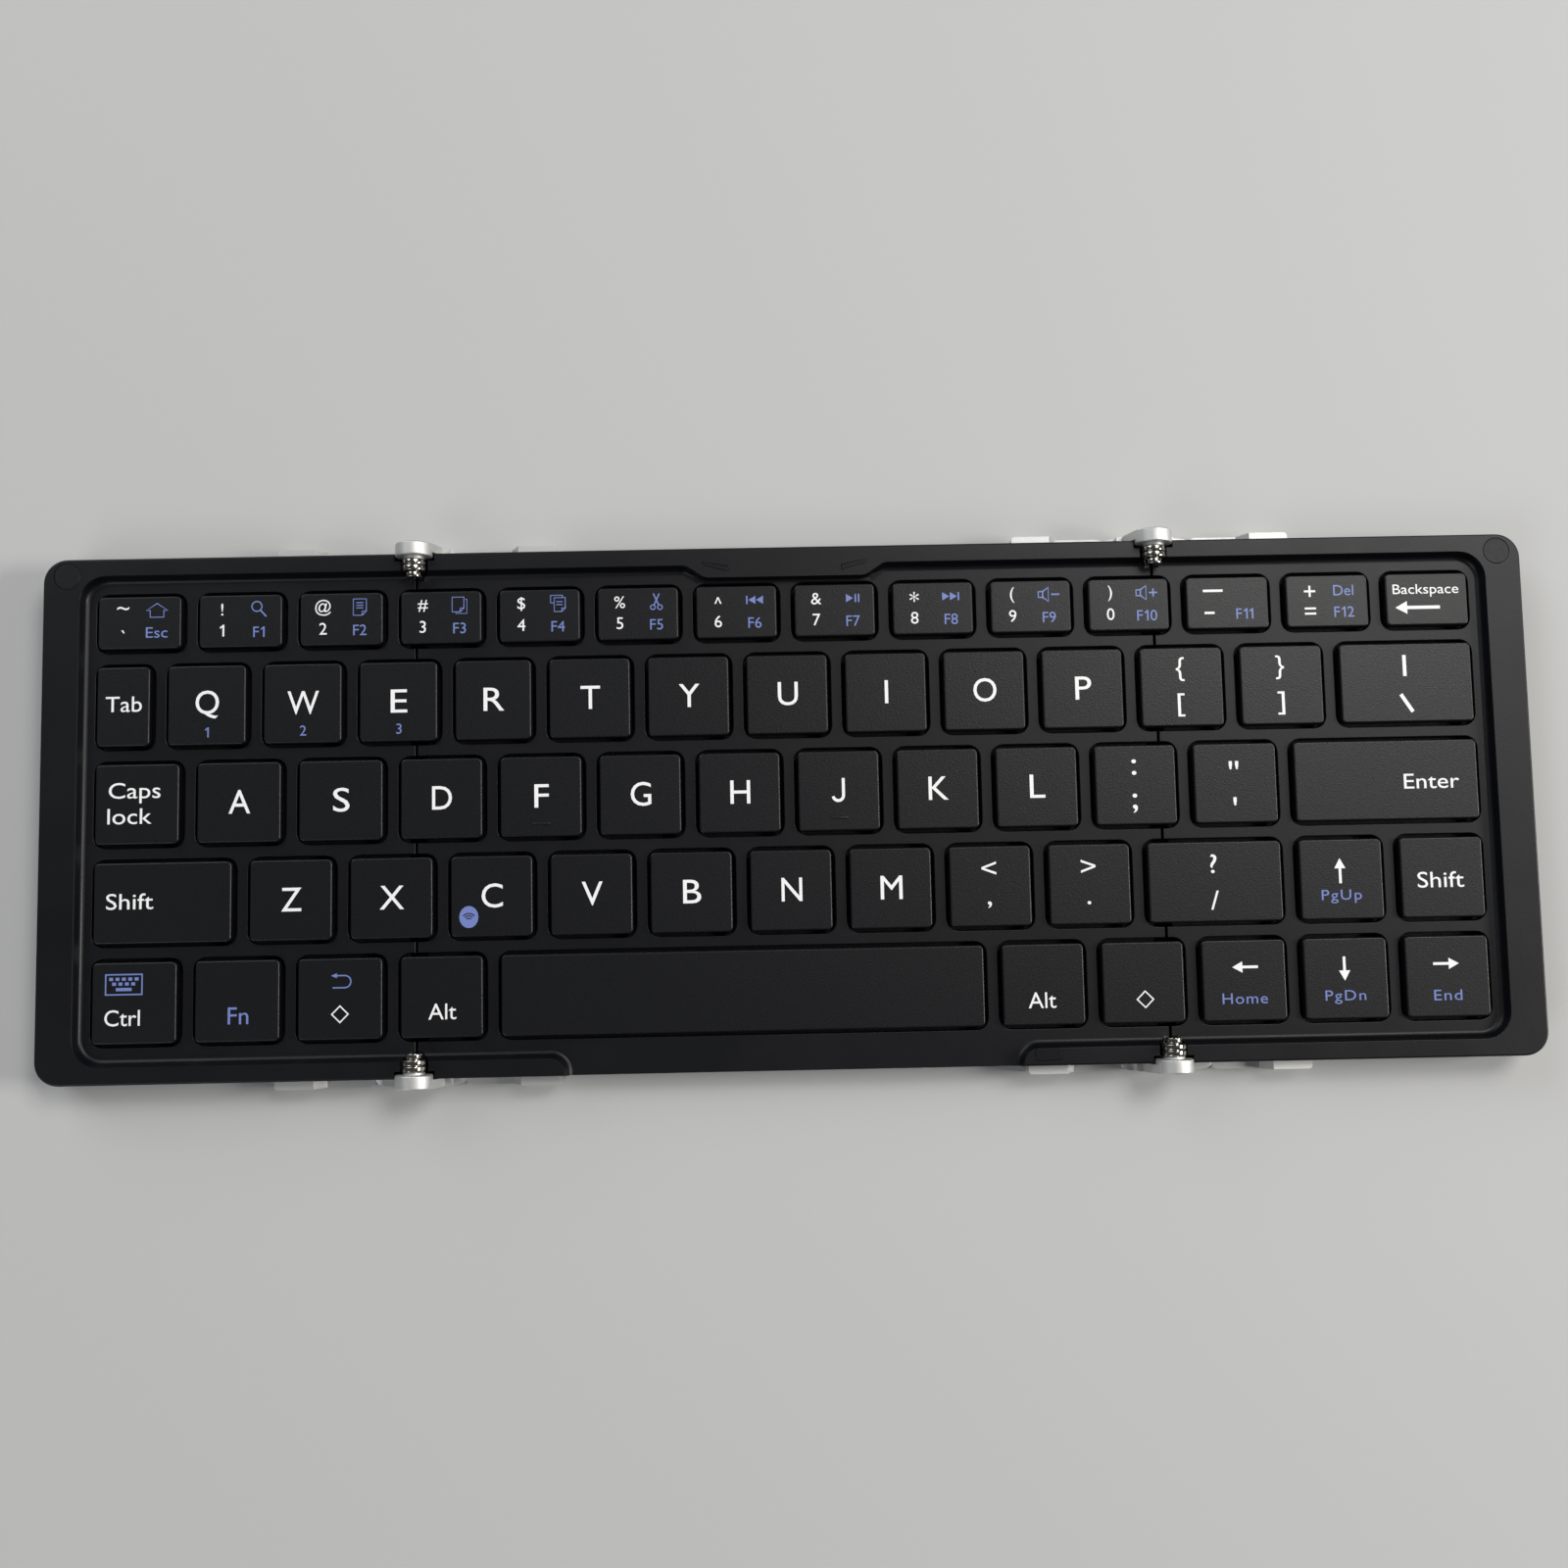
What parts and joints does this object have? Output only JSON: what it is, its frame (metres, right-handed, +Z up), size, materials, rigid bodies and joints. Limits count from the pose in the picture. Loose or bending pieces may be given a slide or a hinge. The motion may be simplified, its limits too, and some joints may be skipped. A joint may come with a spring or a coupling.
{
  "type": "folding keyboard",
  "caption": "Pocket wireless keyboard in three hinged panels: two wings fold over a centre panel on riveted side hinges; sunken black keys.",
  "frame": {"origin": "on the table, under the middle of the open keyboard", "axes": "+X to the typist's right along the length, +Y away from the typist, +Z up"},
  "size_m": [0.2502, 0.091, 0.0107],
  "materials": {
    "anodised_cover": "dark anodised, satin",
    "black_frame": "fine texture, slight sheen",
    "plate_steel": "rolled",
    "silicone_sheet": "translucent silicone on polyester film",
    "scissor_plastic": "moulded",
    "cast_zinc": "satin plated casting",
    "hinge_steel": "turned and polished",
    "foot_rubber": "matt",
    "screw_steel": "black oxide",
    "magnet_black": "epoxy coated",
    "board_green": "solder mask",
    "battery_foil": "laminate foil",
    "socket_steel": "tinned shell",
    "window_smoke": "smoked",
    "flex_film": "polyimide film",
    "key_black": "fine leather-like grain"
  },
  "bodies": {
    "left_wing": {"left_back_cover": "anodised_cover", "left_frame": "black_frame", "left_key_plate": "plate_steel", "left_switch_sheet": "silicone_sheet", "left_scissors": "scissor_plastic", "left_hinge_arms": "cast_zinc", "left_feet": "foot_rubber", "left_screws": "screw_steel", "left_magnet": "magnet_black"},
    "right_wing": {"right_back_cover": "anodised_cover", "right_frame": "black_frame", "right_key_plate": "plate_steel", "right_switch_sheet": "silicone_sheet", "right_scissors": "scissor_plastic", "right_hinge_arms": "cast_zinc", "right_feet": "foot_rubber", "right_screws": "screw_steel", "right_magnet": "magnet_black"},
    "centre_panel": {"centre_back_cover": "anodised_cover", "centre_frame": "black_frame", "centre_key_plate": "plate_steel", "centre_switch_sheet": "silicone_sheet", "centre_scissors": "scissor_plastic", "centre_hinge_arms": "cast_zinc", "hinge_pins": "hinge_steel", "hinge_washers": "hinge_steel", "centre_feet": "foot_rubber", "centre_screws": "screw_steel", "main_board": "board_green", "battery": "battery_foil", "charging_socket": "socket_steel", "rim_windows": "window_smoke", "flex_cables": "flex_film", "centre_magnets": "magnet_black"},
    "left_number_keys_body": {"left_number_keys": "key_black"},
    "tab_key_body": {"tab_key": "key_black"},
    "left_upper_letter_keys_body": {"left_upper_letter_keys": "key_black"},
    "caps_lock_key_body": {"caps_lock_key": "key_black"},
    "left_lower_letter_keys_body": {"left_lower_letter_keys": "key_black"},
    "left_shift_key_body": {"left_shift_key": "key_black"},
    "control_key_body": {"control_key": "key_black"},
    "function_key_body": {"function_key": "key_black"},
    "left_system_key_body": {"left_system_key": "key_black"},
    "centre_number_keys_body": {"centre_number_keys": "key_black"},
    "centre_upper_letter_keys_body": {"centre_upper_letter_keys": "key_black"},
    "centre_home_letter_keys_body": {"centre_home_letter_keys": "key_black"},
    "centre_lower_letter_keys_body": {"centre_lower_letter_keys": "key_black"},
    "left_alt_key_body": {"left_alt_key": "key_black"},
    "space_key_body": {"space_key": "key_black"},
    "right_alt_key_body": {"right_alt_key": "key_black"},
    "right_system_key_body": {"right_system_key": "key_black"},
    "right_symbol_keys_body": {"right_symbol_keys": "key_black"},
    "backspace_key_body": {"backspace_key": "key_black"},
    "backslash_key_body": {"backslash_key": "key_black"},
    "enter_key_body": {"enter_key": "key_black"},
    "right_shift_key_body": {"right_shift_key": "key_black"},
    "arrow_up_key_body": {"arrow_up_key": "key_black"},
    "arrow_left_key_body": {"arrow_left_key": "key_black"},
    "arrow_down_key_body": {"arrow_down_key": "key_black"},
    "arrow_right_key_body": {"arrow_right_key": "key_black"}
  },
  "joints": [
    {"name": "left_wing_fold", "type": "hinge", "parent": "centre_panel", "child": "left_wing", "pos_m": [-0.06267, 0, 0.00765], "axis": [0, 1, 0], "range_deg": [0, 180], "deforming": ["flex_cables"]},
    {"name": "right_wing_fold", "type": "hinge", "parent": "centre_panel", "child": "right_wing", "pos_m": [0.06267, 0, 0.00765], "axis": [0, -1, 0], "range_deg": [0, 180]},
    {"name": "left_number_keys_press", "type": "slide", "parent": "left_wing", "child": "left_number_keys_body", "axis": [0, 0, -1], "range_m": [0, 0.0013], "stiffness_N_per_m": 1200, "deforming": ["left_switch_sheet", "left_scissors"]},
    {"name": "tab_key_press", "type": "slide", "parent": "left_wing", "child": "tab_key_body", "axis": [0, 0, -1], "range_m": [0, 0.0013], "stiffness_N_per_m": 400},
    {"name": "left_upper_letter_keys_press", "type": "slide", "parent": "left_wing", "child": "left_upper_letter_keys_body", "axis": [0, 0, -1], "range_m": [0, 0.0013], "stiffness_N_per_m": 1200},
    {"name": "caps_lock_key_press", "type": "slide", "parent": "left_wing", "child": "caps_lock_key_body", "axis": [0, 0, -1], "range_m": [0, 0.0013], "stiffness_N_per_m": 400},
    {"name": "left_lower_letter_keys_press", "type": "slide", "parent": "left_wing", "child": "left_lower_letter_keys_body", "axis": [0, 0, -1], "range_m": [0, 0.0013], "stiffness_N_per_m": 1600},
    {"name": "left_shift_key_press", "type": "slide", "parent": "left_wing", "child": "left_shift_key_body", "axis": [0, 0, -1], "range_m": [0, 0.0013], "stiffness_N_per_m": 400},
    {"name": "control_key_press", "type": "slide", "parent": "left_wing", "child": "control_key_body", "axis": [0, 0, -1], "range_m": [0, 0.0013], "stiffness_N_per_m": 400},
    {"name": "function_key_press", "type": "slide", "parent": "left_wing", "child": "function_key_body", "axis": [0, 0, -1], "range_m": [0, 0.0013], "stiffness_N_per_m": 400},
    {"name": "left_system_key_press", "type": "slide", "parent": "left_wing", "child": "left_system_key_body", "axis": [0, 0, -1], "range_m": [0, 0.0013], "stiffness_N_per_m": 400},
    {"name": "centre_number_keys_press", "type": "slide", "parent": "centre_panel", "child": "centre_number_keys_body", "axis": [0, 0, -1], "range_m": [0, 0.0013], "stiffness_N_per_m": 3200, "deforming": ["centre_switch_sheet", "centre_scissors"]},
    {"name": "centre_upper_letter_keys_press", "type": "slide", "parent": "centre_panel", "child": "centre_upper_letter_keys_body", "axis": [0, 0, -1], "range_m": [0, 0.0013], "stiffness_N_per_m": 2800},
    {"name": "centre_home_letter_keys_press", "type": "slide", "parent": "centre_panel", "child": "centre_home_letter_keys_body", "axis": [0, 0, -1], "range_m": [0, 0.0013], "stiffness_N_per_m": 3200},
    {"name": "centre_lower_letter_keys_press", "type": "slide", "parent": "centre_panel", "child": "centre_lower_letter_keys_body", "axis": [0, 0, -1], "range_m": [0, 0.0013], "stiffness_N_per_m": 2800},
    {"name": "left_alt_key_press", "type": "slide", "parent": "centre_panel", "child": "left_alt_key_body", "axis": [0, 0, -1], "range_m": [0, 0.0013], "stiffness_N_per_m": 400},
    {"name": "space_key_press", "type": "slide", "parent": "centre_panel", "child": "space_key_body", "axis": [0, 0, -1], "range_m": [0, 0.0013], "stiffness_N_per_m": 400},
    {"name": "right_alt_key_press", "type": "slide", "parent": "centre_panel", "child": "right_alt_key_body", "axis": [0, 0, -1], "range_m": [0, 0.0013], "stiffness_N_per_m": 400},
    {"name": "right_system_key_press", "type": "slide", "parent": "centre_panel", "child": "right_system_key_body", "axis": [0, 0, -1], "range_m": [0, 0.0013], "stiffness_N_per_m": 400},
    {"name": "right_symbol_keys_press", "type": "slide", "parent": "right_wing", "child": "right_symbol_keys_body", "axis": [0, 0, -1], "range_m": [0, 0.0013], "stiffness_N_per_m": 2400, "deforming": ["right_switch_sheet", "right_scissors"]},
    {"name": "backspace_key_press", "type": "slide", "parent": "right_wing", "child": "backspace_key_body", "axis": [0, 0, -1], "range_m": [0, 0.0013], "stiffness_N_per_m": 400},
    {"name": "backslash_key_press", "type": "slide", "parent": "right_wing", "child": "backslash_key_body", "axis": [0, 0, -1], "range_m": [0, 0.0013], "stiffness_N_per_m": 400},
    {"name": "enter_key_press", "type": "slide", "parent": "right_wing", "child": "enter_key_body", "axis": [0, 0, -1], "range_m": [0, 0.0013], "stiffness_N_per_m": 400},
    {"name": "right_shift_key_press", "type": "slide", "parent": "right_wing", "child": "right_shift_key_body", "axis": [0, 0, -1], "range_m": [0, 0.0013], "stiffness_N_per_m": 400},
    {"name": "arrow_up_key_press", "type": "slide", "parent": "right_wing", "child": "arrow_up_key_body", "axis": [0, 0, -1], "range_m": [0, 0.0013], "stiffness_N_per_m": 400},
    {"name": "arrow_left_key_press", "type": "slide", "parent": "right_wing", "child": "arrow_left_key_body", "axis": [0, 0, -1], "range_m": [0, 0.0013], "stiffness_N_per_m": 400},
    {"name": "arrow_down_key_press", "type": "slide", "parent": "right_wing", "child": "arrow_down_key_body", "axis": [0, 0, -1], "range_m": [0, 0.0013], "stiffness_N_per_m": 400},
    {"name": "arrow_right_key_press", "type": "slide", "parent": "right_wing", "child": "arrow_right_key_body", "axis": [0, 0, -1], "range_m": [0, 0.0013], "stiffness_N_per_m": 400}
  ]
}
